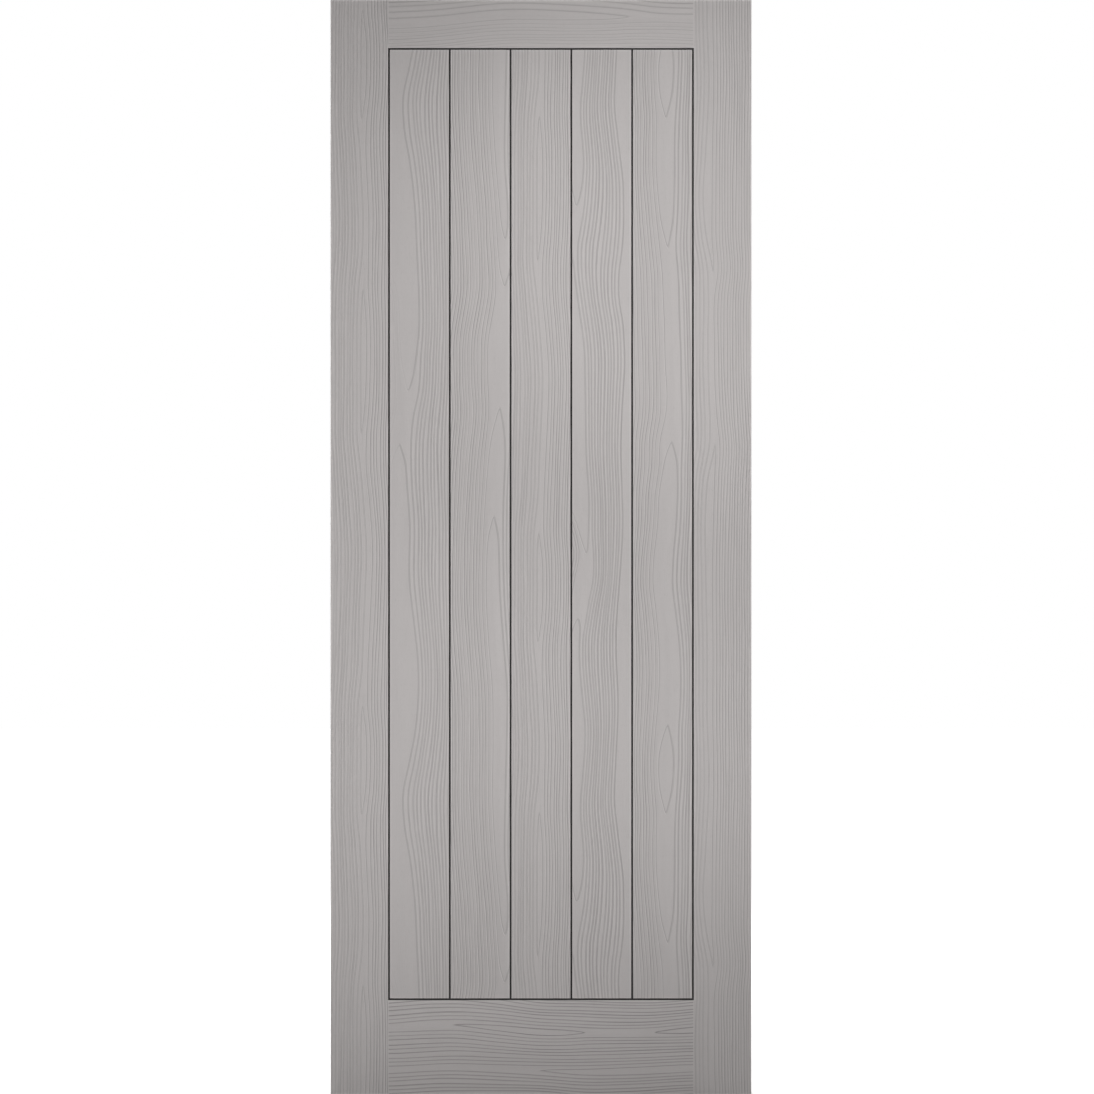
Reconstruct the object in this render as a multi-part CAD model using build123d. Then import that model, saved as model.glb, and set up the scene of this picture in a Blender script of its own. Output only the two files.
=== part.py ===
"""A moulded interior door leaf with a face of five upright boards between stiles and rails.

Two pressed fibreboard skins are glued to a softwood frame, lock blocks and a paper honeycomb core.
Each skin is one sheet: its boards, stiles and rails are drawn by a network of narrow grooves pressed
into the face, and the sheet stands proud behind every groove as a low rib.

Frame of reference, in millimetres: X runs across the leaf from its hinge edge, Y through its
thickness from front to back, Z up. The origin is at the foot of the hinge edge, at mid thickness.
"""

import os

from build123d import *

# The leaf
LEAF_WIDTH = 762.0
LEAF_HEIGHT = 1981.0
LEAF_THICKNESS = 35.0

# The pattern of the face, measured to the middle of the grooves
STILE_FACE = 106.0
TOP_RAIL_FACE = 89.0
BOTTOM_RAIL_FACE = 172.0
BOARD_COUNT = 5

# The pressed skin
SKIN_THICKNESS = 3.2
EDGE_ARRIS = 0.8
GROOVE_WIDTH = 2.6
GROOVE_DEPTH = 2.4
GROOVE_FLOOR = 1.4
GROOVE_ARRIS = 0.4
RIB_HEIGHT = 1.2
RIB_CREST = 4.4
RIB_SLOPE = 2.0

# The timber frame and lock blocks
STILE_TIMBER = 34.0
TOP_RAIL_TIMBER = 40.0
BOTTOM_RAIL_TIMBER = 60.0
BLOCK_WIDTH = 64.0
BLOCK_HEIGHT = 600.0
BLOCK_CENTRE_HEIGHT = 990.0

# The honeycomb core
CELL_ACROSS = 76.0
PAPER = 0.8

# How far a cutter or a rib runs past the face that it works on, so that no two faces only touch
OVERRUN = 1.0

# Places that follow from the sizes above
FRONT = -LEAF_THICKNESS / 2
CORE_THICKNESS = LEAF_THICKNESS - 2 * SKIN_THICKNESS
SKIN_BACK = FRONT + SKIN_THICKNESS
PANEL_LEFT = STILE_FACE
PANEL_RIGHT = LEAF_WIDTH - STILE_FACE
PANEL_FOOT = BOTTOM_RAIL_FACE
PANEL_HEAD = LEAF_HEIGHT - TOP_RAIL_FACE
BOARD_PITCH = (PANEL_RIGHT - PANEL_LEFT) / BOARD_COUNT
CORE_LEFT = STILE_TIMBER
CORE_RIGHT = LEAF_WIDTH - STILE_TIMBER
CORE_FOOT = BOTTOM_RAIL_TIMBER
CORE_HEAD = LEAF_HEIGHT - TOP_RAIL_TIMBER
BLOCK_FOOT = BLOCK_CENTRE_HEIGHT - BLOCK_HEIGHT / 2
BLOCK_HEAD = BLOCK_CENTRE_HEIGHT + BLOCK_HEIGHT / 2


def block(left, right, foot, head, front=SKIN_BACK, back=-SKIN_BACK):
    """A plain block between two places on each axis."""
    size = (right - left, back - front, head - foot)
    return Pos(left, front, foot) * Box(*size, align=(Align.MIN, Align.MIN, Align.MIN))


def board_lines():
    """The places across the leaf of the grooves between neighbouring boards."""
    return [PANEL_LEFT + BOARD_PITCH * n for n in range(1, BOARD_COUNT)]


def groove_outline():
    """The groove's section: across it, and down from the face. It has eased arrises and a flat floor."""
    mouth = GROOVE_WIDTH / 2 + GROOVE_ARRIS
    half = [(mouth, -OVERRUN), (mouth, 0), (GROOVE_WIDTH / 2, GROOVE_ARRIS), (GROOVE_FLOOR / 2, GROOVE_DEPTH)]
    return half + [(-across, down) for across, down in reversed(half)]


def rib_outline():
    """The rib's section: across it, and down from the face, behind the back of the sheet."""
    crest = RIB_CREST / 2
    top = SKIN_THICKNESS + RIB_HEIGHT
    half = [(crest + RIB_SLOPE, SKIN_THICKNESS - OVERRUN), (crest + RIB_SLOPE, SKIN_THICKNESS), (crest, top)]
    return half + [(-across, down) for across, down in reversed(half)]


def along_network(outline):
    """One section run round the panel with mitred corners, and up every line between two boards."""
    middle_height = (PANEL_FOOT + PANEL_HEAD) / 2
    start = Plane((PANEL_LEFT, FRONT, middle_height), x_dir=(1, 0, 0), z_dir=(0, 0, 1))
    section = start * make_face(Polyline(*outline, close=True))
    corners = [
        (PANEL_LEFT, FRONT, PANEL_HEAD),
        (PANEL_RIGHT, FRONT, PANEL_HEAD),
        (PANEL_RIGHT, FRONT, PANEL_FOOT),
        (PANEL_LEFT, FRONT, PANEL_FOOT),
    ]
    route = Polyline((PANEL_LEFT, FRONT, middle_height), *corners, close=True)
    runs = [sweep(section, path=route, transition=Transition.RIGHT)]
    foot = Plane((0, FRONT, PANEL_FOOT), x_dir=(1, 0, 0), z_dir=(0, 0, 1))
    upright = extrude(foot * make_face(Polyline(*outline, close=True)), amount=PANEL_HEAD - PANEL_FOOT)
    runs += [Pos(place, 0, 0) * upright for place in board_lines()]
    return runs


def pressed_skin():
    """The front skin: one sheet with grooves in its face, ribs behind them and eased outer edges."""
    sheet = block(0, LEAF_WIDTH, 0, LEAF_HEIGHT, FRONT, SKIN_BACK)
    face = sheet.faces().sort_by(Axis.Y)[0]
    sheet = chamfer(face.edges(), EDGE_ARRIS)
    return sheet + along_network(rib_outline()) - along_network(groove_outline())


def turned_about(skin):
    """The same pressing on the other side of the leaf, turned about the leaf's upright middle line."""
    middle = Pos(LEAF_WIDTH / 2, 0, 0)
    return middle * Rot(0, 0, 180) * middle.inverse() * skin


def timber_frame():
    """Two stiles the height of the leaf, with the rails between them."""
    return {
        "hinge_stile": block(0, CORE_LEFT, 0, LEAF_HEIGHT),
        "lock_stile": block(CORE_RIGHT, LEAF_WIDTH, 0, LEAF_HEIGHT),
        "top_rail": block(CORE_LEFT, CORE_RIGHT, CORE_HEAD, LEAF_HEIGHT),
        "bottom_rail": block(CORE_LEFT, CORE_RIGHT, 0, CORE_FOOT),
    }


def lock_blocks():
    """A block against each stile, so that a lock can be let into either edge."""
    return {
        "hinge_side_block": block(CORE_LEFT, CORE_LEFT + BLOCK_WIDTH, BLOCK_FOOT, BLOCK_HEAD),
        "lock_side_block": block(CORE_RIGHT - BLOCK_WIDTH, CORE_RIGHT, BLOCK_FOOT, BLOCK_HEAD),
    }


def cell_outline(pitch_across, pitch_up):
    """A six-sided cell, stretched to its pitches, less half a paper thickness all round."""
    half = pitch_across / 2 - PAPER / 2
    point = pitch_up * 2 / 3 - PAPER / 2
    shoulder = pitch_up / 3 - PAPER / 4
    return [(0, point), (half, shoulder), (half, -shoulder), (0, -point), (-half, -shoulder), (-half, shoulder)]


def honeycomb(left, right, foot, head):
    """A pack of paper cells pulled open to fill a space, and crushed where the skins' ribs press in."""
    width, height = right - left, head - foot
    columns = max(2, round(width / CELL_ACROSS))
    rows = max(2, round(height / (CELL_ACROSS * 3**0.5 / 2)))
    pitch_across, pitch_up = width / columns, height / rows
    cell = make_face(Polyline(*cell_outline(pitch_across, pitch_up), close=True))
    cells = [
        Pos(left + pitch_across * (column + (row % 2) / 2), foot + pitch_up * row) * cell
        for row in range(rows + 1)
        for column in range(columns + 1)
    ]
    outline = Pos((left + right) / 2, (foot + head) / 2) * Rectangle(width, height)
    upright = Plane((0, -SKIN_BACK, 0), x_dir=(1, 0, 0), z_dir=(0, -1, 0))
    return extrude(upright * (outline - cells), amount=CORE_THICKNESS)


def core_packs():
    """Three packs: below, between and above the lock blocks."""
    packs = {
        "core_bottom": honeycomb(CORE_LEFT, CORE_RIGHT, CORE_FOOT, BLOCK_FOOT),
        "core_middle": honeycomb(CORE_LEFT + BLOCK_WIDTH, CORE_RIGHT - BLOCK_WIDTH, BLOCK_FOOT, BLOCK_HEAD),
        "core_top": honeycomb(CORE_LEFT, CORE_RIGHT, BLOCK_HEAD, CORE_HEAD),
    }
    ribs = along_network(rib_outline())
    ribs += [turned_about(rib) for rib in ribs]
    return {name: pack - ribs for name, pack in packs.items()}


def door_leaf():
    """Every piece of the leaf, by the name of its node."""
    front = pressed_skin()
    return {
        "front_skin": front,
        "back_skin": turned_about(front),
        **timber_frame(),
        **lock_blocks(),
        **core_packs(),
    }


os.makedirs("parts", exist_ok=True)
for node, piece in door_leaf().items():
    export_step(piece, f"parts/{node}.step")
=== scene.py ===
"""Looks of a moulded interior door.

The two skins are built again with the pressed wood grain in them. The timber frame and the paper
core stay as they are and get their materials. Lengths are in millimetres until a mesh is made.

Each board of the pattern carries its own grain: a ring count that is level along the heart of the
board and rises to both sides. A line of the grain lies wherever the count is a whole number, so a
heart whose level passes a whole number draws the pointed end of a ring.
"""

import math
from functools import partial
from typing import Callable, NamedTuple

import bmesh
import bpy
import numpy as np
from mathutils import Matrix, Vector

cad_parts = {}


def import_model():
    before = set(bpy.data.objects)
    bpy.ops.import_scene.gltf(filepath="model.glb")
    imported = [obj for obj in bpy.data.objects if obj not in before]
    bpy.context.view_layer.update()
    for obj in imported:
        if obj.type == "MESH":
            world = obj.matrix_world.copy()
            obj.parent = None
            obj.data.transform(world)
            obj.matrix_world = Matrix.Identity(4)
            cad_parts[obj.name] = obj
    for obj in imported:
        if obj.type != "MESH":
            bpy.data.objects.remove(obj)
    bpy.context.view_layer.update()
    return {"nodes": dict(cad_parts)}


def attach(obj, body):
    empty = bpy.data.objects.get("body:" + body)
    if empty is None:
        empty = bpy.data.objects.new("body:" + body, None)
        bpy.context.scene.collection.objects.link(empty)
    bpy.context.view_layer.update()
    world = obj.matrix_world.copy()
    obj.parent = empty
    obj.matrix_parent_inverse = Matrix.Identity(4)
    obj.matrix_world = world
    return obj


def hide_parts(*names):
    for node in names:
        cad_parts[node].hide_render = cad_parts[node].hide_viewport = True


MM = 0.001

# The leaf
LEAF_WIDTH = 762.0
LEAF_HEIGHT = 1981.0
LEAF_THICKNESS = 35.0
STILE_FACE = 106.0
TOP_RAIL_FACE = 89.0
BOTTOM_RAIL_FACE = 172.0
BOARD_COUNT = 5
BOARD_PITCH = (LEAF_WIDTH - 2 * STILE_FACE) / BOARD_COUNT
RIGHT_STILE = LEAF_WIDTH - STILE_FACE
RAIL_LOW = BOTTOM_RAIL_FACE
RAIL_HIGH = LEAF_HEIGHT - TOP_RAIL_FACE

# The skin's section, as (distance from the middle of a groove, depth below the face)
SKIN_THICKNESS = 3.2
EDGE_ARRIS = 0.8
GROOVE_MOUTH = 1.7
GROOVE_SECTION = [(1.3, 0.4), (0.7, 2.4)]
RIB_SECTION = [(4.2, 3.2), (2.2, 4.4)]

# The plain strip where a rail meets a stile
JOIN = 1.0

# The mesh that carries the grain
ACROSS_STEP = 1.3
ALONG_STEP = 14.0
CLOSE_ROWS = (1.5, 3.5, 6.0)

# How rings run round a heart. The pattern repeats along the grain. A heart has a rounded middle, a
# least half width and a soft edge, and the rings next to it are wider than those further out.
GRAIN_REPEAT = 1259.0
RAIL_REPEAT = 760.0
TIP_ROUND = 1.0
HEART_LEAST = 2.0
HEART_RISE = 0.3
HEART_SOFT = 2.5
HEARTS_BLEND = 18.0
SPACING_LEAST = 0.6
WIDER_FIRST = 0.8
WIDER_REACH = 2.0
RING_STEP_MOST = 60.0

# Rings are uneven by waves of (rings, turn per millimetre along, turn per ring, share of the start).
# The rings close to a heart stay even, up to the first of two counts, and the second has it all.
ONE_HEART_WAVES = [
    (0.11, 0.0, 1.9, 1.0), (0.05, 0.0, 4.3, 2.3), (0.08, 1 / 61, 0.8, 1.0), (0.05, 1 / 23, 1.7, 0.0),
]
TWO_HEART_WAVES = [(0.12, 0.0, 1.9, 1.0), (0.08, 1 / 61, 0.8, 1.0)]
EVEN_RINGS = (0.8, 2.5)

# The pressed relief: broad mesh waves, a bumped line and ledge per ring; each line is painted shade too
WAVE_DEPTH = 0.14
WAVE_FADE = 3.0
WAVE_RING_STEPS = (2.0, 5.0)
LINE_REACH = (0.1, 1.4)
LINE_DEPTH = 0.08
LEDGE_REACH = (0.9, 2.1)
LEDGE_HEIGHT = 0.34
FIBRE_HEIGHT = 0.08
TICK_DEPTH = 0.04

# How strongly painted shade darkens a grain line, in upright boards and in rails
LINE_PAINTED_SHADE_UPRIGHT = 0.27
LINE_PAINTED_SHADE_LEVEL = 0.50

# Noise of the paint, in turns per millimetre across and along the grain
FIBRE_SCALE = (1.3, 0.02)
TICK_SCALE = (1.7, 0.11)
BROAD_SCALE = (0.045, 0.004)
FADE_ALONG = 0.006
FADE_PER_RING = 5.3

# Where in the noise a fade or a tick starts, and where it is full
FADE_REACH = (0.35, 0.65)
TICK_REACH = (0.60, 0.72)

# What chance and noise do, as (where they are 0, where they are 1)
CHANCE_STRENGTH = (0.68, 1.04)
FADE_STRENGTH = (0.70, 1.0)
FIBRE_SHADE = (0.93, 1.07)
TICK_SHADE = (1.0, 0.93)
BROAD_SHADE = (0.97, 1.03)

# The rings close to a heart are equally strong, up to the first of two counts
HEART_STRENGTH = 0.68
HEART_RINGS = (1.2, 2.6)

# A painted highlight: the paint is a little lighter along a groove
RIM_REACH = (1.0, 4.5)
RIM_PAINTED_HIGHLIGHT = 1.08

# Rows of (height above the foot, heart from the board's left edge, half width of the heart, level)
BOARD_1 = [
    (15, 34.5, 12.5, 0), (80, 35.5, 13.5, -0.35), (125, 36.5, 15.5, -0.5), (180, 35.5, 16.5, -0.5),
    (270, 20, 28, -0.5), (345, 14.5, 30, -0.5), (425, 7.5, 28, -0.5), (490, 0, 24.5, -0.5),
    (545, 0, 22.5, -0.5), (600, 7.5, 26.5, -0.5), (660, 12, 33.5, -0.5), (725, 14.5, 36.5, -0.5),
    (785, 13.5, 36.5, -0.5), (860, 11, 31, -0.5), (925, 9, 25.5, -0.5), (1035, 12.5, 22, -0.5),
    (1120, 16.5, 12.5, -0.45), (1175, 18.5, 13.5, 0), (1225, 26.5, 14.5, 0.5),
]
BOARD_2 = [
    (35, 92.5, 20, 1.4), (100, 94.5, 22, 1.4), (205, 99, 9, 1), (245, 100, 8, 0.5),
    (290, 100, 7.5, 0), (340, 98, 5.5, -0.4), (425, 91.5, 5.5, -0.5), (530, 89, 9, -0.5),
    (640, 90.5, 10, -0.5), (730, 90.5, 11, -0.5), (820, 83.5, 11, -0.5), (915, 78, 10, -0.5),
    (975, 78, 9, -0.45), (1060, 80, 11, 0.1), (1155, 85.5, 12.5, 0.5), (1240, 90, 12.5, 1),
]
BOARD_3 = [
    (35, 63.5, 3.5, 0.5), (125, 58, 3.5, 0.5), (195, 51.5, 3.5, 0.5), (250, 49, 3, 0),
    (295, 51, 3, -0.3), (370, 52.5, 3, -0.5), (460, 52.5, 3, -0.4), (510, 52, 3, 0),
    (570, 55.5, 3, 0.4), (635, 57, 3.5, 0.55), (715, 53.5, 3.5, 0.55), (770, 51, 3.5, 0.5),
    (820, 49.5, 3, 0), (860, 51.5, 3, -0.4), (915, 53, 3, -0.5), (965, 52.5, 3, -0.45),
    (1015, 51, 3, 0), (1075, 54.5, 3.5, 0.5), (1155, 58, 3.5, 0.5), (1230, 61.5, 3.5, 0.5),
]
BOARD_4_LEFT = [
    (5, 7.5, 16.5, -0.5), (100, 5.5, 15.5, -0.5), (165, 0, 12, -0.5), (250, -7.5, 11, -0.3),
    (275, -5.5, 12.5, 0.2), (305, 2, 12.5, 0.5), (350, 9, 9, 0), (380, 10, 9, -0.3),
    (415, 8, 12.5, -0.5), (530, 3.5, 12, -0.5), (575, 7.5, 12, -0.5), (670, 9, 14.5, -0.5),
    (705, 7.5, 12.5, -0.5), (780, 3.5, 10, -0.5), (820, 6.5, 7.5, -0.4), (860, 11.5, 11, 0),
    (885, 14.5, 14.5, 0.4), (930, 22, 16.5, 0.5), (980, 27, 9, 0), (1010, 23.5, 9, -0.25),
    (1070, 14.5, 16.5, -0.5), (1155, 9, 17, -0.5),
]
BOARD_4_RIGHT = [
    (20, 109, 14, -0.5), (65, 109, 11.5, -0.5), (100, 109, 12.5, -0.5), (135, 109, 15, -0.5),
    (180, 105, 18, -0.5), (235, 105, 17, -0.5), (270, 109, 16, -0.5), (310, 110.5, 15, -0.5),
    (350, 110.5, 15, -0.5), (395, 109, 15, -0.5), (435, 105, 16, -0.5), (480, 101.5, 18, -0.5),
    (525, 100, 21.5, -0.5), (600, 101.5, 21, -0.5), (705, 105, 20, -0.5), (800, 103.5, 22, -0.5),
    (845, 103.5, 22, -0.5), (885, 105, 21, -0.5), (940, 107, 19, -0.5), (1030, 109, 15.5, -0.5),
    (1095, 109, 17, -0.5), (1165, 109, 19, -0.5), (1230, 109, 17, -0.5),
]
BOARD_5 = [
    (60, 74.5, 12, 1.5), (170, 71, 12, 1.5), (225, 69, 11, 1.4), (275, 64.5, 9, 1),
    (335, 62.5, 11, 0.6), (425, 60, 14.5, 0.5), (460, 60, 13.5, 0.4), (510, 61, 11, 0),
    (550, 61, 12.5, -0.25), (600, 61.5, 14.5, -0.3), (660, 63.5, 14.5, -0.05), (705, 67, 16.5, 0.3),
    (760, 69, 17, 0.5), (815, 67, 16.5, 0.5), (880, 60, 15.5, 0.5), (925, 55, 15.5, 0.5),
    (960, 56, 15.5, 0.5), (1035, 63, 14.5, 0.5), (1085, 65.5, 14.5, 0.5), (1140, 69.5, 12.5, 0.7),
    (1180, 71, 14.5, 1), (1230, 76, 12.5, 1.35),
]
STILE_RIGHT = [
    (5, 35, 3.5, 0.5), (100, 33, 3.5, 0.5), (190, 34, 3.5, 0.5), (230, 36.5, 3, 0),
    (295, 29, 4.5, -0.35), (355, 26.5, 6, -0.5), (445, 29, 4, -0.5), (560, 33, 3, -0.4),
    (705, 30.5, 3, -0.5), (775, 31, 3, -0.5), (955, 29, 4, -0.5), (1035, 29.5, 5.5, -0.5),
    (1115, 33, 5, -0.4), (1175, 40, 3, 0), (1215, 38, 3, 0.35),
]

# The left stile was pressed from the same pattern as the third board, set lower and to the right
STILE_LEFT_DROP = 313.0
STILE_LEFT_SHIFT = 7.0
STILE_LEFT = [(z - STILE_LEFT_DROP, u + STILE_LEFT_SHIFT, half, level) for z, u, half, level in BOARD_3]

# Rows of (place along the rail, height of the heart, half width of the heart, level)
TOP_RAIL = [
    (105, 1937, 6, -0.5), (196, 1942, 6, -0.5), (243, 1947, 6, -0.5), (279, 1951, 6, -0.5),
    (316, 1953.5, 6, -0.5), (424, 1952, 5, -0.5), (515, 1950, 4, -0.2), (539, 1950, 4, 0),
    (588, 1948, 4, 0.4), (657, 1946, 5, 0.5),
]
BOTTOM_RAIL_UPPER = [
    (105, 120, 5, 0.4), (190, 125, 5, 0.15), (225, 125.5, 4, 0), (300, 120, 4, -0.35),
    (381, 112.5, 4, -0.5), (430, 111.5, 4, -0.3), (459, 111.5, 4, 0), (520, 111, 5, 0.3),
    (588, 112, 4, 0), (625, 114, 4, -0.3), (656, 116, 4, -0.45),
]
BOTTOM_RAIL_LOWER = [
    (105, 44, 4, 0.45), (218, 49, 4, 0.45), (307, 46, 4, 0.3), (381, 43, 4, 0), (455, 40, 4, -0.4),
    (550, 42, 5, -0.5), (655, 47, 5, -0.5),
]

# Where the grain is pressed less: beside the heart of the first board, and low on the top rail
FIRST_BOARD_PRESS = 1.14
FIRST_BOARD_LEAST = 0.25
FIRST_BOARD_CHANGE = (-6.0, 4.0)
TOP_RAIL_LOW_PRESS = 0.47
TOP_RAIL_HIGH_PRESS = 0.69
TOP_RAIL_CHANGE = (1935.0, 1960.0)

# The camera, as it stood in front of the leaf
CAMERA_SIDE = 391.9
CAMERA_HEIGHT = 990.5
CAMERA_DISTANCE = 6000.0
VIEW_WIDTH = 1980.0
SENSOR = 36.0

# Area lamps, in metres and watts, as (place, target, size, power)
AREA_LAMPS = {
    "left_lamp": ((-4.2, -1.9, 1.4), (0.4, 0.0, 1.0), (0.5, 1.0), 166.0),
    "back_lamp": ((-0.6, 2.6, 2.0), (0.4, 0.0, 1.0), (1.2, 1.6), 60.0),
    "edge_lamp": ((2.7, 0.35, 1.1), (0.76, 0.0, 1.0), (0.5, 1.4), 24.0),
    "top_lamp": ((0.4, 0.5, 4.2), (0.4, 0.0, 1.98), (0.8, 0.8), 36.0),
}

# Spot lamps, as (place, target, cone in degrees, softness of the cone's edge, power)
SPOT_LAMPS = {
    "upper_lamp": ((0.7, -4.5, 1.5), (0.75, 0.0, 1.6), 18.0, 0.9, 146.0),
    "side_lamp": ((0.75, -4.5, 1.2), (0.85, 0.0, 1.25), 28.0, 0.8, 108.0),
    "front_lamp": ((0.38, -4.5, 1.05), (0.38, 0.0, 1.1), 28.0, 0.8, 121.0),
    "lower_lamp": ((0.45, -4.5, 0.6), (0.45, 0.0, 0.5), 17.0, 0.9, 62.0),
}
SPOT_RADIUS = 0.12

# The even light of the world, where 1 would show a colour at its full strength
EVEN_LIGHT = 0.225

# The floor, in metres, and how strongly it glows close to the leaf and far from it
FLOOR_REACH = 12.0
FLOOR_DROP = 0.0005
FLOOR_NEAR = 0.6
FLOOR_FAR = 2.5
GLOW_NEAR = 0.5
GLOW_FAR = 0.88

# Colours, linear
PAINT = (0.447, 0.424, 0.419)
# Painted highlight: the eased outer edges, the skins' long edges and the rail joins are a little
# lighter than the face
EDGE_PAINTED_HIGHLIGHT = (0.474, 0.449, 0.444)
# Painted shade: the grooves and their eased rims are coloured near black to stand in for their deep
# shadow
GROOVE_PAINTED_SHADE = (0.020, 0.018, 0.018)
FIBREBOARD = (0.210, 0.125, 0.066)
SOFTWOOD_LIGHT = (0.640, 0.445, 0.255)
SOFTWOOD_DARK = (0.400, 0.235, 0.110)
KRAFT = (0.420, 0.290, 0.180)
WHITE = (1.0, 1.0, 1.0, 1.0)
FLOOR_GREY = (0.8, 0.8, 0.8, 1.0)
PAINT_ROUGHNESS = 0.62

# Softwood, in metres: where the heart of the tree lies, its rings per metre, how far they wander, and
# how deep the paint of the long edges goes
WOOD_HEART_SIDE = 0.021
WOOD_HEART_DEEP = 0.047
WOOD_RINGS = 330.0
WOOD_WANDER = 0.012
WOOD_WANDER_SCALE = (9.0, 2.2)
WOOD_FIBRE_SCALE = (900.0, 25.0)
COAT_DEPTH = 0.0005


class Grain(NamedTuple):
    """The grain of one board, stile or rail."""

    # The ring count, and how strongly it is pressed, at a place across and along the grain
    rings: Callable
    press: Callable
    # A number of its own, so that its fine fibres differ from those of its neighbours
    seed: float
    # The side of each line that the ledge is on: 1 away from the heart, -1 towards it
    lean: float = 1.0
    upright: bool = True


def smooth_step(low, high, value):
    """0 below low, 1 above high, and a smooth rise between."""
    t = np.clip((value - low) / (high - low), 0.0, 1.0)
    return t * t * (3 - 2 * t)


def through(places, values, at, repeat):
    """A smooth repeating curve through values at places."""
    order = np.argsort(np.mod(places, repeat))
    place = np.mod(places, repeat)[order]
    value = np.asarray(values, dtype=float)[order]
    place = np.concatenate([place[-3:] - repeat, place, place[:3] + repeat])
    value = np.concatenate([value[-3:], value, value[:3]])
    slope = np.gradient(value, place)
    at = np.mod(at, repeat)
    i = np.clip(np.searchsorted(place, at) - 1, 0, len(place) - 2)
    gap = place[i + 1] - place[i]
    t = (at - place[i]) / gap
    return (
        value[i] * (1 + 2 * t) * (1 - t) ** 2
        + value[i + 1] * t * t * (3 - 2 * t)
        + slope[i] * gap * t * (1 - t) ** 2
        - slope[i + 1] * gap * t * t * (1 - t)
    )


def heart_of(rows, along, repeat):
    """The heart's place, half width and level at each place along the grain."""
    table = np.array(rows, dtype=float)
    heart = through(table[:, 0], table[:, 1], along, repeat)
    half = np.maximum(through(table[:, 0], table[:, 2], along, repeat), HEART_LEAST)
    level = through(table[:, 0], table[:, 3], along, repeat)
    return heart, half, level


def distance_out(across, heart, half):
    """Distance from the heart's edge, and the small rise inside it that gives rings their points."""
    off = np.hypot(across - heart, TIP_ROUND) - TIP_ROUND
    over = off - half
    outside = (np.hypot(over, HEART_SOFT) + over) / 2 - (np.hypot(half, HEART_SOFT) - half) / 2
    inside = HEART_RISE * (off - outside) / half
    return outside, inside


def rings_out(steps):
    """Ring count after a number of even steps from the heart: the first rings are wider."""
    return steps - WIDER_FIRST * (1 - np.exp(-steps / WIDER_REACH))


def unevenness(waves, ring, along, start):
    """How many rings the waves shift a place by."""
    turns = [along * per_mm + ring * per_ring + start * share for _, per_mm, per_ring, share in waves]
    return sum(wave[0] * np.sin(turn) for wave, turn in zip(waves, turns))


def one_heart(across, along, rows, sides, start, repeat=GRAIN_REPEAT):
    """Rings round one heart. Each side says the board's edge, its spacing, its ring count at the edge
    and how far it keeps to the spacing (1) or to the count (0)."""
    heart, half, level = heart_of(rows, along, repeat)
    outside, inside = distance_out(across, heart, half)
    steps = []
    for edge, spacing, count, even in sides:
        room = np.abs(edge - heart) - half
        fitted = np.maximum(room / (count - level + WIDER_FIRST), SPACING_LEAST * spacing)
        steps.append(outside / (even * spacing + (1 - even) * fitted))
    ring = level + inside + rings_out(np.where(across < heart, steps[0], steps[1]))
    return ring + smooth_step(*EVEN_RINGS, ring) * unevenness(ONE_HEART_WAVES, ring, along, start)


def two_hearts(across, along, first, second, count, start, repeat=GRAIN_REPEAT):
    """Rings round two hearts, with a set count of rings between them."""
    heart_1, half_1, level_1 = heart_of(first, along, repeat)
    heart_2, half_2, level_2 = heart_of(second, along, repeat)
    near = heart_1 + half_1
    far = heart_2 - half_2
    spacing = (far - near) / (count - level_1 - level_2)
    outside, inside = distance_out(across, heart_1, half_1)
    low = level_1 + inside + outside / spacing
    outside, inside = distance_out(across, heart_2, half_2)
    high = count - level_2 - inside - outside / spacing
    middle = (near + far) / 2
    share = smooth_step(middle - HEARTS_BLEND, middle + HEARTS_BLEND, across)
    ring = low * (1 - share) + high * share
    outer = smooth_step(*EVEN_RINGS, np.minimum(low, count - high))
    return ring + outer * unevenness(TWO_HEART_WAVES, ring, along, start)


def evenly(strength):
    """Grain that is pressed equally strongly everywhere."""
    return lambda across, along: np.full_like(across, strength)


def first_board_press(across, along):
    """The first board is nearly smooth to the left of its heart."""
    heart, _, _ = heart_of(BOARD_1, along, GRAIN_REPEAT)
    share = smooth_step(*FIRST_BOARD_CHANGE, across - heart)
    return FIRST_BOARD_PRESS * (FIRST_BOARD_LEAST + (1 - FIRST_BOARD_LEAST) * share)


def top_rail_press(across, along):
    """The grain of the top rail is pressed less deep, and least so below its middle."""
    share = smooth_step(*TOP_RAIL_CHANGE, across)
    return TOP_RAIL_LOW_PRESS + (TOP_RAIL_HIGH_PRESS - TOP_RAIL_LOW_PRESS) * share


def board_grains():
    """The grain of the five boards, from the left."""
    left, right = 0.0, BOARD_PITCH
    sides = {
        1: [(left, 7.0, 4.0, 0.5), (right, 5.8, 11.0, 0.2)],
        2: [(left, 5.4, 15.0, 0.85), (right, 5.4, 3.5, 0.7)],
        3: [(left, 5.3, 9.0, 0.6), (right, 5.1, 11.0, 0.6)],
        5: [(left, 5.4, 9.5, 0.5), (right, 5.4, 6.5, 0.5)],
    }
    rings_1 = partial(one_heart, rows=BOARD_1, sides=sides[1], start=0.4)
    rings_2 = partial(one_heart, rows=BOARD_2, sides=sides[2], start=1.7)
    rings_3 = partial(one_heart, rows=BOARD_3, sides=sides[3], start=2.9)
    rings_4 = partial(two_hearts, first=BOARD_4_LEFT, second=BOARD_4_RIGHT, count=12.0, start=4.1)
    rings_5 = partial(one_heart, rows=BOARD_5, sides=sides[5], start=5.3)
    return [
        Grain(rings_1, first_board_press, seed=53.0),
        Grain(rings_2, evenly(1.24), seed=70.0),
        Grain(rings_3, evenly(1.14), seed=87.0, lean=-1.0),
        Grain(rings_4, evenly(1.15), seed=104.0),
        Grain(rings_5, evenly(1.24), seed=121.0),
    ]


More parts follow.
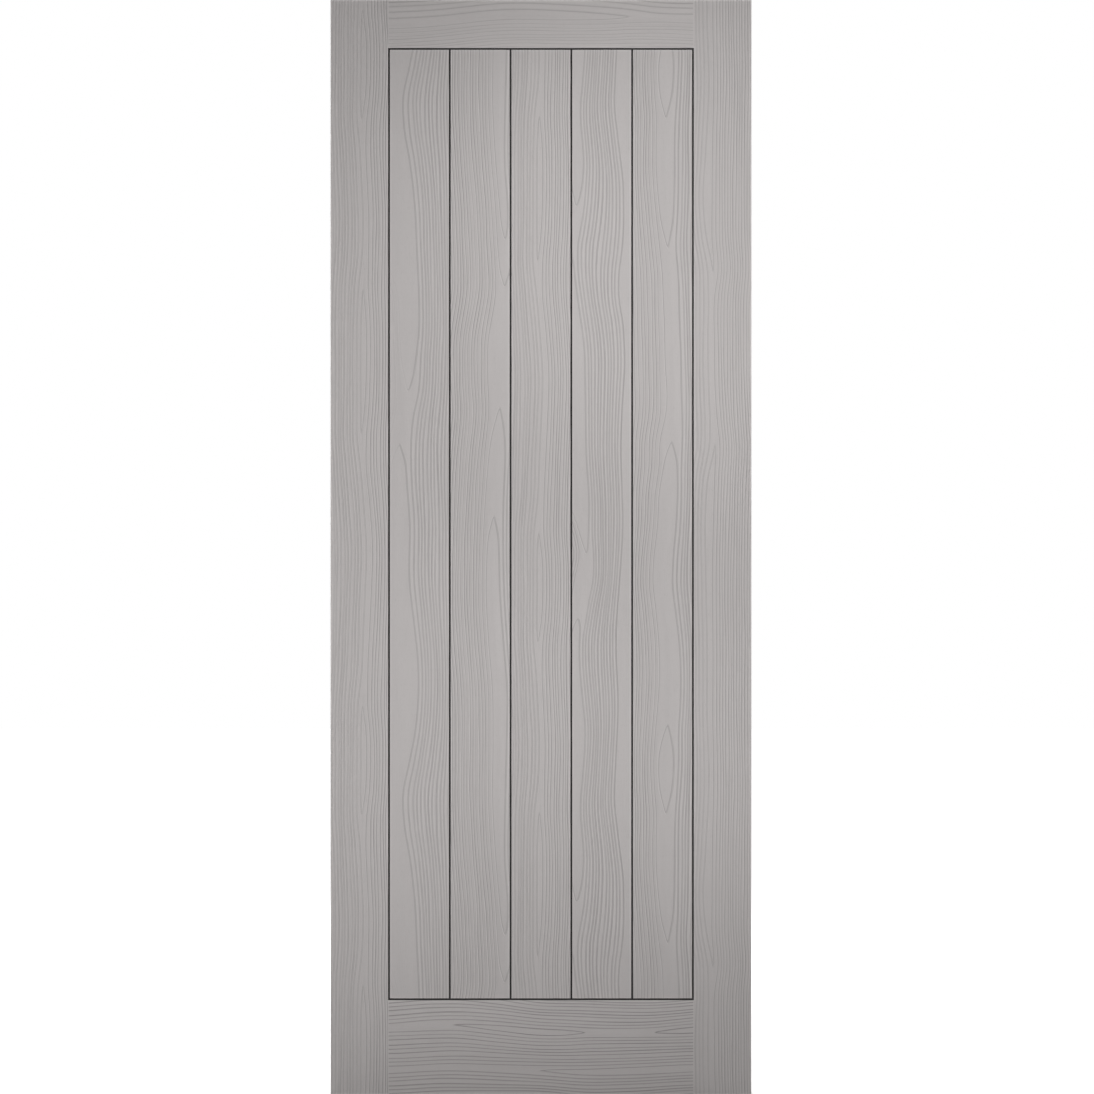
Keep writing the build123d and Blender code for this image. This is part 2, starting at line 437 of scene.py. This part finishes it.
def stile_grains():
    """The grain of the left and the right stile."""
    left, right = 0.0, STILE_FACE
    left_sides = [(left, 5.4, 10.0, 0.6), (right, 5.4, 8.0, 0.6)]
    right_sides = [(left, 6.2, 4.5, 0.6), (right, 5.0, 14.0, 0.6)]
    left_rings = partial(one_heart, rows=STILE_LEFT, sides=left_sides, start=6.5)
    right_rings = partial(one_heart, rows=STILE_RIGHT, sides=right_sides, start=7.7)
    return [
        Grain(left_rings, evenly(1.0), seed=11.0, lean=-1.0),
        Grain(right_rings, evenly(1.0), seed=23.0, lean=-1.0),
    ]


def rail_grains():
    """The grain of the bottom and the top rail, which lies level."""
    hearts = {"first": BOTTOM_RAIL_LOWER, "second": BOTTOM_RAIL_UPPER}
    low_rings = partial(two_hearts, **hearts, count=10.0, start=9.1, repeat=RAIL_REPEAT)
    sides = [(RAIL_HIGH, 5.6, 5.0, 1.0), (LEAF_HEIGHT, 8.4, 3.0, 1.0)]
    high_rings = partial(one_heart, rows=TOP_RAIL, sides=sides, start=8.3, repeat=RAIL_REPEAT)
    return [
        Grain(low_rings, evenly(1.0), seed=31.0, upright=False),
        Grain(high_rings, top_rail_press, seed=43.0, upright=False),
    ]


def groove_distance(x, z):
    """Distance to the nearest groove or outer edge of the face."""
    nearest = np.minimum.reduce([x, LEAF_WIDTH - x, z, LEAF_HEIGHT - z]) + GROOVE_MOUTH - EDGE_ARRIS
    past = np.maximum.reduce([RAIL_LOW - z, z - RAIL_HIGH, np.zeros_like(z)])
    for i in range(BOARD_COUNT + 1):
        nearest = np.minimum(nearest, np.hypot(x - (STILE_FACE + i * BOARD_PITCH), past))
    beside = np.maximum.reduce([STILE_FACE - x, x - RIGHT_STILE, np.zeros_like(x)])
    for level in (RAIL_LOW, RAIL_HIGH):
        nearest = np.minimum(nearest, np.hypot(z - level, beside))
    return nearest - GROOVE_MOUTH


def stations(start, stop, step, close=()):
    """Places from start to stop, with extra ones close to both ends."""
    count = max(2, int(math.ceil((stop - start) / step)) + 1)
    places = list(np.linspace(start, stop, count))
    places += [start + c for c in close] + [stop - c for c in close]
    return sorted(places)


class Skin:
    """Points and faces of one skin, as (x, height, depth below the face)."""

    # The kinds of face, in the order of the skin's materials; the groove faces are coloured with
    # painted shade
    GRAINED, PLAIN, GROOVE, RAW = range(4)

    # What the grained paint needs to know at each point
    FACTS = ("ring", "ring_step", "across", "along", "seed", "rim", "press", "line_painted_shade", "lean")

    def __init__(self):
        self.points = []
        self.facts = []
        self.faces = []
        self.kinds = []

    def point(self, x, z, depth):
        """A point outside the grained faces, whose paint needs no facts."""
        self.points.append((x, z, depth))
        self.facts.append((0.0,) * len(self.FACTS))
        return len(self.points) - 1

    def face(self, corners, kind):
        """A face of one kind between corners."""
        self.faces.append(tuple(corners))
        self.kinds.append(kind)

    def patch(self, xs, zs, grain, origin=0.0):
        """A piece of the face that carries grain, with its rings counted from an origin across it.
        Its borders are straight and at depth 0."""
        xs = np.array(xs)
        zs = np.array(zs)
        x, z = np.meshgrid(xs, zs)
        across, along = (x, z) if grain.upright else (z, x)
        ring = grain.rings(across - origin, along)
        rise, run = np.gradient(ring, zs, xs)
        step = 1 / np.maximum(np.hypot(rise, run), 1 / RING_STEP_MOST)
        border = np.minimum.reduce([x - xs[0], xs[-1] - x, z - zs[0], zs[-1] - z])
        wave = WAVE_DEPTH * (0.5 + 0.5 * np.sin(2 * np.pi * ring))
        depth = wave * smooth_step(0.0, WAVE_FADE, border) * smooth_step(*WAVE_RING_STEPS, step)
        facts = {
            "ring": ring,
            "ring_step": step,
            "across": across,
            "along": along,
            "seed": grain.seed,
            "rim": groove_distance(x, z),
            "press": grain.press(across - origin, along),
            "line_painted_shade": LINE_PAINTED_SHADE_UPRIGHT if grain.upright else LINE_PAINTED_SHADE_LEVEL,
            "lean": grain.lean,
        }
        first = len(self.points)
        self.points.extend(zip(x.ravel(), z.ravel(), depth.ravel()))
        self.facts.extend(zip(*(np.broadcast_to(facts[name], x.shape).ravel() for name in self.FACTS)))
        index = first + np.arange(x.size).reshape(x.shape)
        quads = np.stack([index[:-1, :-1], index[:-1, 1:], index[1:, 1:], index[1:, :-1]], axis=-1)
        self.faces.extend(map(tuple, quads.reshape(-1, 4).tolist()))
        self.kinds.extend([self.GRAINED] * (quads.size // 4))
        return index

    def ladder(self, first, second, kind):
        """Triangles between two rows of points that run the same way."""
        places = []
        for row in (first, second):
            spots = np.array([self.points[i] for i in row])
            run = np.concatenate([[0], np.cumsum(np.linalg.norm(np.diff(spots, axis=0), axis=1))])
            places.append(run / run[-1])
        i = j = 0
        while i < len(first) - 1 or j < len(second) - 1:
            end_first = i == len(first) - 1
            end_second = j == len(second) - 1
            if end_second or (not end_first and places[0][i + 1] <= places[1][j + 1]):
                self.face((first[i], first[i + 1], second[j]), kind)
                i += 1
            else:
                self.face((first[i], second[j + 1], second[j]), kind)
                j += 1

    def rectangle(self, left, low, right, high, depth):
        """Four corners: low left, low right, high right, high left."""
        corners = [(left, low), (right, low), (right, high), (left, high)]
        return [self.point(x, z, depth) for x, z in corners]

    def opening(self, offset, depth):
        """The rectangle round all boards, an offset outside the middle of the groove."""
        left = STILE_FACE - offset
        return self.rectangle(left, RAIL_LOW - offset, LEAF_WIDTH - left, RAIL_HIGH + offset, depth)

    def boards(self, offset, depth):
        """The rectangle of each board, an offset inside the middle of its grooves."""
        corners = []
        for i in range(BOARD_COUNT):
            left = STILE_FACE + i * BOARD_PITCH + offset
            right = left + BOARD_PITCH - 2 * offset
            corners.append(self.rectangle(left, RAIL_LOW + offset, right, RAIL_HIGH - offset, depth))
        return corners

    def walls(self, first, second, kinds):
        """Four faces between two rectangles, from the low side round to the left."""
        for i in range(4):
            k = (i + 1) % 4
            self.face((first[i], first[k], second[k], second[i]), kinds[i])

    def network(self, section, outer, inner, kind):
        """The groove or rib round the opening and between the boards, from its first rectangles on."""
        for offset, depth in section:
            next_outer = self.opening(offset, depth)
            next_inner = self.boards(offset, depth)
            self.walls(outer, next_outer, [kind] * 4)
            for board, next_board in zip(inner, next_inner):
                self.walls(board, next_board, [kind] * 4)
            outer = next_outer
            inner = next_inner
        low = [outer[0], outer[1]]
        high = [outer[3], outer[2]]
        for board in reversed(inner):
            low += [board[1], board[0]]
            high += [board[2], board[3]]
        self.face(low, kind)
        self.face(high, kind)
        self.face((outer[0], inner[0][0], inner[0][3], outer[3]), kind)
        self.face((outer[1], inner[-1][1], inner[-1][2], outer[2]), kind)
        for board, after in zip(inner, inner[1:]):
            self.face((board[1], after[0], after[3], board[2]), kind)

    def ease(self, sides, corners, kind):
        """The eased edge between the many points of a border and the four corners below it."""
        pairs = [(0, 1), (1, 2), (3, 2), (0, 3)]
        for side, (a, b) in zip(sides, pairs):
            self.ladder(side, [corners[a], corners[b]], kind)


def frame_patches(skin):
    """The grained stiles and rails, and the strips where rails meet stiles. The result is the many
    points of the opening's four sides and of the four outer sides."""
    low_mouth = RAIL_LOW - GROOVE_MOUTH
    high_mouth = RAIL_HIGH + GROOVE_MOUTH
    foot = EDGE_ARRIS
    head = LEAF_HEIGHT - EDGE_ARRIS
    inner = STILE_FACE - GROOVE_MOUTH

    stile_rows = stations(foot, low_mouth, ALONG_STEP, CLOSE_ROWS)
    stile_rows += stations(low_mouth, high_mouth, ALONG_STEP)[1:]
    stile_rows += stations(high_mouth, head, ALONG_STEP, CLOSE_ROWS)[1:]
    left_columns = stations(EDGE_ARRIS, inner, ACROSS_STEP)
    right_columns = [LEAF_WIDTH - x for x in reversed(left_columns)]
    left_grain, right_grain = stile_grains()
    left = skin.patch(left_columns, stile_rows, left_grain)
    right = skin.patch(right_columns, stile_rows, right_grain, RIGHT_STILE)

    rail_columns = stations(inner + JOIN, LEAF_WIDTH - inner - JOIN, ALONG_STEP)
    low_grain, high_grain = rail_grains()
    low = skin.patch(rail_columns, stations(foot, low_mouth, ACROSS_STEP), low_grain)
    high = skin.patch(rail_columns, stations(high_mouth, head, ACROSS_STEP), high_grain)

    low_row = stile_rows.index(low_mouth)
    high_row = stile_rows.index(high_mouth)
    skin.ladder(list(left[: low_row + 1, -1]), list(low[:, 0]), Skin.PLAIN)
    skin.ladder(list(low[:, -1]), list(right[: low_row + 1, 0]), Skin.PLAIN)
    skin.ladder(list(left[high_row:, -1]), list(high[:, 0]), Skin.PLAIN)
    skin.ladder(list(high[:, -1]), list(right[high_row:, 0]), Skin.PLAIN)
    opening_sides = [
        [left[low_row, -1], *low[-1, :], right[low_row, 0]],
        list(right[low_row : high_row + 1, 0]),
        [left[high_row, -1], *high[0, :], right[high_row, 0]],
        list(left[low_row : high_row + 1, -1]),
    ]
    outer_sides = [
        [*left[0, :], *low[0, :], *right[0, :]],
        list(right[:, -1]),
        [*left[-1, :], *high[-1, :], *right[-1, :]],
        list(left[:, 0]),
    ]
    return opening_sides, outer_sides


def board_patches(skin):
    """The grained boards. The result is the many points of the four sides of each."""
    rows = stations(RAIL_LOW + GROOVE_MOUTH, RAIL_HIGH - GROOVE_MOUTH, ALONG_STEP, CLOSE_ROWS)
    sides = []
    for number, grain in enumerate(board_grains()):
        left = STILE_FACE + number * BOARD_PITCH
        columns = stations(left + GROOVE_MOUTH, left + BOARD_PITCH - GROOVE_MOUTH, ACROSS_STEP)
        board = skin.patch(columns, rows, grain, left)
        sides.append([list(board[0, :]), list(board[:, -1]), list(board[-1, :]), list(board[:, 0])])
    return sides


def build_skin():
    """One skin, closed all round."""
    skin = Skin()
    opening_sides, outer_sides = frame_patches(skin)
    board_sides = board_patches(skin)

    outer = skin.opening(*GROOVE_SECTION[0])
    inner = skin.boards(*GROOVE_SECTION[0])
    skin.ease(opening_sides, outer, Skin.GROOVE)
    for sides, corners in zip(board_sides, inner):
        skin.ease(sides, corners, Skin.GROOVE)
    skin.network(GROOVE_SECTION[1:], outer, inner, Skin.GROOVE)

    rim = skin.rectangle(0, 0, LEAF_WIDTH, LEAF_HEIGHT, EDGE_ARRIS)
    back = skin.rectangle(0, 0, LEAF_WIDTH, LEAF_HEIGHT, SKIN_THICKNESS)
    skin.ease(outer_sides, rim, Skin.PLAIN)
    skin.walls(rim, back, [Skin.RAW, Skin.PLAIN, Skin.RAW, Skin.PLAIN])

    outer = skin.opening(*RIB_SECTION[0])
    inner = skin.boards(*RIB_SECTION[0])
    skin.walls(back, outer, [Skin.RAW] * 4)
    for corners in inner:
        skin.face(corners, Skin.RAW)
    skin.network(RIB_SECTION[1:], outer, inner, Skin.RAW)
    return skin


def close_mesh(mesh):
    """Faces that all look outwards, with a crisp edge wherever two materials meet."""
    work = bmesh.new()
    work.from_mesh(mesh)
    bmesh.ops.recalc_face_normals(work, faces=work.faces)
    for edge in work.edges:
        edge.smooth = len({face.material_index for face in edge.link_faces}) == 1
    work.to_mesh(mesh)
    work.free()
    mesh.update()


def skin_mesh(skin, name, materials):
    """The skin as a mesh in place on the front of the leaf, with what its paint needs to know."""
    points = np.array(skin.points)
    places = np.empty_like(points)
    places[:, 0] = points[:, 0]
    places[:, 1] = points[:, 2] - LEAF_THICKNESS / 2
    places[:, 2] = points[:, 1]
    mesh = bpy.data.meshes.new(name)
    mesh.from_pydata((places * MM).tolist(), [], skin.faces)
    for material in materials:
        mesh.materials.append(material)
    kinds = np.array(skin.kinds, dtype=np.int32)
    mesh.polygons.foreach_set("material_index", kinds)
    mesh.polygons.foreach_set("use_smooth", kinds == Skin.GRAINED)
    facts = np.array(skin.facts, dtype=np.float32)
    for column, fact in enumerate(Skin.FACTS):
        layer = mesh.attributes.new(fact, "FLOAT", "POINT")
        layer.data.foreach_set("value", facts[:, column].copy())
    close_mesh(mesh)
    return mesh


def place_skin(mesh, name, node):
    """A skin's object, riding on the leaf and standing for the plain skin of the frame."""
    piece = bpy.data.objects.new(name, mesh)
    bpy.context.scene.collection.objects.link(piece)
    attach(piece, "root")
    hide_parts(node)


def add(tree, kind, inputs=None, **settings):
    """A node with its settings and inputs. An input is a number, a colour or another node's output."""
    node = tree.nodes.new(kind)
    for name, value in settings.items():
        setattr(node, name, value)
    for key, value in (inputs or {}).items():
        if isinstance(value, bpy.types.NodeSocket):
            tree.links.new(value, node.inputs[key])
        else:
            node.inputs[key].default_value = value
    return node


def maths(tree, operation, *values):
    """The result of a sum in the tree."""
    return add(tree, "ShaderNodeMath", dict(enumerate(values)), operation=operation).outputs[0]


def times(tree, first, *others):
    """The product of two or more values."""
    product = first
    for other in others:
        product = maths(tree, "MULTIPLY", product, other)
    return product


def spread(tree, value, at_0, at_1):
    """A straight change from at_0 to at_1 while the value goes from 0 to 1."""
    return maths(tree, "MULTIPLY_ADD", value, at_1 - at_0, at_0)


def ramp(tree, value, low, high, at_low=0.0, at_high=1.0):
    """A smooth change from at_low to at_high while the value goes from low to high."""
    inputs = {"Value": value, "From Min": low, "From Max": high, "To Min": at_low, "To Max": at_high}
    return add(tree, "ShaderNodeMapRange", inputs, interpolation_type="SMOOTHSTEP").outputs["Result"]


def mixed(tree, kind, factor, first, second):
    """The first of two numbers or colours where the factor is 0, and the second where it is 1."""
    inputs = {"Factor": factor, "A": first, "B": second}
    return add(tree, "ShaderNodeMix", inputs, data_type=kind).outputs["Result"]


def vector(tree, x, y, z):
    """Three values as one place."""
    return add(tree, "ShaderNodeCombineXYZ", {0: x, 1: y, 2: z}).outputs[0]


def stretched(tree, across, along, third, scale):
    """A place for noise that runs in streaks along the grain."""
    return vector(tree, times(tree, across, scale[0]), times(tree, along, scale[1]), third)


def noise(tree, place, scale=1.0, detail=2.0, roughness=0.5):
    """Smooth noise from 0 to 1."""
    inputs = {"Vector": place, "Scale": scale, "Detail": detail, "Roughness": roughness}
    return add(tree, "ShaderNodeTexNoise", inputs).outputs["Fac"]


def attribute(tree, name):
    """One of the facts that the skin's mesh carries."""
    return add(tree, "ShaderNodeAttribute", attribute_name=name).outputs["Fac"]


def object_place(tree):
    """The place on the piece, in metres."""
    return add(tree, "ShaderNodeTexCoord").outputs["Object"]


def tinted(tree, colour, factor):
    """A colour made lighter or darker by a factor."""
    scale = add(tree, "ShaderNodeVectorMath", {0: colour, "Scale": factor}, operation="SCALE")
    return scale.outputs["Vector"]


def new_material(name, roughness):
    """A material with its surface shader."""
    material = bpy.data.materials.new(name)
    material.use_nodes = True
    tree = material.node_tree
    tree.nodes.clear()
    shader = add(tree, "ShaderNodeBsdfPrincipled", {"Roughness": roughness})
    add(tree, "ShaderNodeOutputMaterial", {"Surface": shader.outputs[0]})
    return material, tree, shader


def bumped(tree, shader, height):
    """Small relief, with its height in metres."""
    bump = add(tree, "ShaderNodeBump", {"Height": height, "Distance": 1.0, "Strength": 1.0})
    tree.links.new(bump.outputs["Normal"], shader.inputs["Normal"])


def ring_strength(tree, ring, index, along, seed):
    """How strongly a ring shows: by chance, coming and going along it, but steady near the heart."""
    chance_place = vector(tree, index, seed, 0.0)
    chance = add(tree, "ShaderNodeTexWhiteNoise", {"Vector": chance_place}, noise_dimensions="3D")
    outer = spread(tree, chance.outputs["Value"], *CHANCE_STRENGTH)
    fade_place = stretched(tree, index, along, seed, (FADE_PER_RING, FADE_ALONG))
    fading = ramp(tree, noise(tree, fade_place), *FADE_REACH)
    outer = times(tree, outer, spread(tree, fading, *FADE_STRENGTH))
    near_heart = ramp(tree, ring, *HEART_RINGS, 1.0, 0.0)
    strength = mixed(tree, "FLOAT", near_heart, outer, HEART_STRENGTH)
    return times(tree, strength, attribute(tree, "press"))


def ring_lines(tree, along, seed):
    """The line of each ring, darkened with painted shade, and the ledge beside it."""
    ring = attribute(tree, "ring")
    lean = attribute(tree, "lean")
    index = maths(tree, "ROUND", ring)
    turn = maths(tree, "SUBTRACT", ring, index)
    beside = times(tree, turn, attribute(tree, "ring_step"))
    line = ramp(tree, maths(tree, "ABSOLUTE", beside), *LINE_REACH, 1.0, 0.0)
    drop = ramp(tree, times(tree, beside, lean), *LEDGE_REACH, 0.5, -0.5)
    ledge = maths(tree, "MULTIPLY_ADD", turn, lean, drop)
    strength = ring_strength(tree, ring, index, along, seed)
    return times(tree, line, strength), times(tree, ledge, strength)


def grained_paint():
    """Grey satin paint over the pressed wood grain."""
    material, tree, shader = new_material("grained_paint", PAINT_ROUGHNESS)
    across = attribute(tree, "across")
    along = attribute(tree, "along")
    seed = attribute(tree, "seed")
    line, ledge = ring_lines(tree, along, seed)
    fibre = noise(tree, stretched(tree, across, along, seed, FIBRE_SCALE), detail=3.0, roughness=0.6)
    tick = noise(tree, stretched(tree, across, along, seed, TICK_SCALE), detail=1.0)
    tick = ramp(tree, tick, *TICK_REACH)
    broad = noise(tree, stretched(tree, across, along, seed, BROAD_SCALE), detail=1.0)

    shades = [
        # Painted shade darkens the colour along each grain line
        maths(tree, "SUBTRACT", 1.0, times(tree, line, attribute(tree, "line_painted_shade"))),
        spread(tree, fibre, *FIBRE_SHADE),
        spread(tree, tick, *TICK_SHADE),
        spread(tree, broad, *BROAD_SHADE),
        # Painted highlight: lighter paint along the rim of each groove
        ramp(tree, attribute(tree, "rim"), *RIM_REACH, RIM_PAINTED_HIGHLIGHT, 1.0),
    ]
    tree.links.new(tinted(tree, PAINT, times(tree, *shades)), shader.inputs["Base Color"])
    shader.inputs["Specular IOR Level"].default_value = 0.35

    height = times(tree, ledge, LEDGE_HEIGHT * MM)
    for relief, size in ((line, -LINE_DEPTH), (fibre, FIBRE_HEIGHT), (tick, -TICK_DEPTH)):
        height = maths(tree, "MULTIPLY_ADD", relief, size * MM, height)
    bumped(tree, shader, height)
    return material


def plain_paint(name, colour, roughness):
    """Flat paint where no grain is pressed: a painted highlight on plain faces, painted shade in
    grooves.
    """
    material, _, shader = new_material(name, roughness)
    shader.inputs["Base Color"].default_value = (*colour, 1.0)
    return material


def fibreboard():
    """Bare fibreboard, at cut edges and on the inside."""
    material, tree, shader = new_material("bare_fibreboard", 0.85)
    fleck = noise(tree, object_place(tree), 900.0, 3.0, 0.7)
    colour = tinted(tree, FIBREBOARD, spread(tree, fleck, 0.65, 1.35))
    tree.links.new(colour, shader.inputs["Base Color"])
    bumped(tree, shader, times(tree, fleck, 0.1 * MM))
    return material


def kraft_paper():
    """The brown paper of the honeycomb."""
    material, tree, shader = new_material("kraft_paper", 0.9)
    fleck = noise(tree, object_place(tree), 600.0, 3.0)
    colour = tinted(tree, KRAFT, spread(tree, fleck, 0.85, 1.15))
    tree.links.new(colour, shader.inputs["Base Color"])
    return material


def softwood(name, upright):
    """Planed softwood with rings round a far heart, so that ends and sides agree. The long edges of
    the leaf are painted."""
    material, tree, shader = new_material(name, 0.6)
    x, y, z = add(tree, "ShaderNodeSeparateXYZ", {0: object_place(tree)}).outputs
    flat, along = (x, z) if upright else (z, x)
    side = maths(tree, "ADD", flat, WOOD_HEART_SIDE)
    deep = maths(tree, "ADD", y, WOOD_HEART_DEEP)
    squares = maths(tree, "ADD", times(tree, side, side), times(tree, deep, deep))
    wander_deep = times(tree, y, WOOD_WANDER_SCALE[0])
    wander = noise(tree, stretched(tree, flat, along, wander_deep, WOOD_WANDER_SCALE))
    radius = maths(tree, "ADD", maths(tree, "SQRT", squares), times(tree, wander, WOOD_WANDER))
    turn = maths(tree, "FRACT", times(tree, radius, WOOD_RINGS))
    late = times(tree, ramp(tree, turn, 0.45, 0.9), ramp(tree, turn, 0.93, 1.0, 1.0, 0.0))
    wood = mixed(tree, "RGBA", late, (*SOFTWOOD_LIGHT, 1.0), (*SOFTWOOD_DARK, 1.0))

    fibre_deep = times(tree, y, WOOD_FIBRE_SCALE[0])
    fibre = noise(tree, stretched(tree, flat, along, fibre_deep, WOOD_FIBRE_SCALE))
    bare = tinted(tree, wood, spread(tree, fibre, 0.85, 1.15))
    from_middle = maths(tree, "ABSOLUTE", maths(tree, "SUBTRACT", x, LEAF_WIDTH * MM / 2))
    coat = maths(tree, "GREATER_THAN", from_middle, LEAF_WIDTH * MM / 2 - COAT_DEPTH)
    colour = mixed(tree, "RGBA", coat, bare, (*PAINT, 1.0))
    tree.links.new(colour, shader.inputs["Base Color"])
    bumped(tree, shader, times(tree, fibre, 0.06 * MM))
    return material


def dress(frame):
    """Materials for the timber frame and the core, which stay as they are."""
    upright = softwood("softwood_upright", True)
    level = softwood("softwood_level", False)
    paper = kraft_paper()
    choices = {
        "hinge_stile": upright,
        "lock_stile": upright,
        "hinge_side_block": upright,
        "lock_side_block": upright,
        "top_rail": level,
        "bottom_rail": level,
        "core_bottom": paper,
        "core_middle": paper,
        "core_top": paper,
    }
    for node, material in choices.items():
        piece = frame["nodes"][node]
        piece.data.materials.clear()
        piece.data.materials.append(material)


def make_camera(scene):
    """A plain view from the front, square to the leaf."""
    data = bpy.data.cameras.new("camera")
    data.sensor_width = SENSOR
    data.lens = SENSOR * CAMERA_DISTANCE / VIEW_WIDTH
    data.clip_start = 0.1
    data.clip_end = 100.0
    camera = bpy.data.objects.new("camera", data)
    camera.location = Vector((CAMERA_SIDE, -LEAF_THICKNESS / 2 - CAMERA_DISTANCE, CAMERA_HEIGHT)) * MM
    camera.rotation_euler = (math.radians(90), 0, 0)
    scene.collection.objects.link(camera)
    scene.camera = camera


def hang_lamp(scene, data, place, target, power):
    """A lamp at its place, turned towards its target."""
    data.energy = power
    lamp = bpy.data.objects.new(data.name, data)
    lamp.location = place
    lamp.rotation_euler = (Vector(target) - Vector(place)).to_track_quat("-Z", "Y").to_euler()
    lamp.visible_camera = False
    scene.collection.objects.link(lamp)


def make_lamps(scene):
    """Soft light on every side. From the front it is brightest above the middle, and the lamp at the
    far left brings out the grain."""
    for name, (place, target, size, power) in AREA_LAMPS.items():
        data = bpy.data.lights.new(name, "AREA")
        data.shape = "RECTANGLE"
        data.size, data.size_y = size
        hang_lamp(scene, data, place, target, power)
    for name, (place, target, cone, softness, power) in SPOT_LAMPS.items():
        data = bpy.data.lights.new(name, "SPOT")
        data.spot_size = math.radians(cone)
        data.spot_blend = softness
        data.shadow_soft_size = SPOT_RADIUS
        hang_lamp(scene, data, place, target, power)


def seen_directly(tree):
    """1 for what the camera, a mirror or glass sees, and 0 for light that falls on things."""
    path = add(tree, "ShaderNodeLightPath")
    glossy = maths(tree, "MAXIMUM", path.outputs["Is Camera Ray"], path.outputs["Is Glossy Ray"])
    return maths(tree, "MAXIMUM", glossy, path.outputs["Is Transmission Ray"])


def glowing_white():
    """White that glows more and more with the distance from the leaf."""
    material = bpy.data.materials.new("white_stage")
    material.use_nodes = True
    tree = material.node_tree
    tree.nodes.clear()
    away = add(tree, "ShaderNodeVectorMath", {0: object_place(tree)}, operation="LENGTH")
    strength = ramp(tree, away.outputs["Value"], FLOOR_NEAR, FLOOR_FAR, GLOW_NEAR, GLOW_FAR)
    lit = add(tree, "ShaderNodeBsdfDiffuse", {"Color": FLOOR_GREY}).outputs[0]
    glow = add(tree, "ShaderNodeEmission", {"Color": WHITE, "Strength": strength}).outputs[0]
    both = add(tree, "ShaderNodeAddShader", {0: lit, 1: glow}).outputs[0]
    surface = add(tree, "ShaderNodeMixShader", {0: seen_directly(tree), 1: lit, 2: both})
    add(tree, "ShaderNodeOutputMaterial", {"Surface": surface.outputs[0]})
    return material


def white_stage(scene):
    """A white floor that glows enough to read as white and keeps the leaf's soft shadow."""
    corners = [Vector((x, y, 0.0)) * FLOOR_REACH for x, y in ((-1, -1), (1, -1), (1, 1), (-1, 1))]
    floor = bpy.data.meshes.new("floor")
    floor.from_pydata(corners, [], [(0, 1, 2, 3)])
    floor.materials.append(glowing_white())
    piece = bpy.data.objects.new("floor", floor)
    piece.location = (LEAF_WIDTH * MM / 2, 0, -FLOOR_DROP)
    scene.collection.objects.link(piece)


def white_world(scene):
    """A white world to look at, with a weaker even light."""
    world = bpy.data.worlds.new("world")
    world.use_nodes = True
    tree = world.node_tree
    tree.nodes.clear()
    strength = spread(tree, seen_directly(tree), EVEN_LIGHT, 1.0)
    background = add(tree, "ShaderNodeBackground", {"Color": WHITE, "Strength": strength})
    add(tree, "ShaderNodeOutputWorld", {"Surface": background.outputs[0]})
    scene.world = world


def main():
    scene = bpy.context.scene
    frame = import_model()
    paints = [
        grained_paint(),
        # The plain faces get a painted highlight, paint a little lighter than the face
        plain_paint("edge_painted_highlight", EDGE_PAINTED_HIGHLIGHT, PAINT_ROUGHNESS),
        # The grooves get painted shade, a near-black colour in place of their shadow
        plain_paint("groove_painted_shade", GROOVE_PAINTED_SHADE, 0.8),
        fibreboard(),
    ]
    front = skin_mesh(build_skin(), "front_face", paints)
    back = front.copy()
    middle = Matrix.Translation((LEAF_WIDTH * MM / 2, 0, 0))
    back.transform(middle @ Matrix.Rotation(math.pi, 4, "Z") @ middle.inverted())
    place_skin(front, "front_face", "front_skin")
    place_skin(back, "back_face", "back_skin")
    dress(frame)
    make_camera(scene)
    make_lamps(scene)
    white_stage(scene)
    white_world(scene)
    scene.view_settings.view_transform = "Standard"


main()
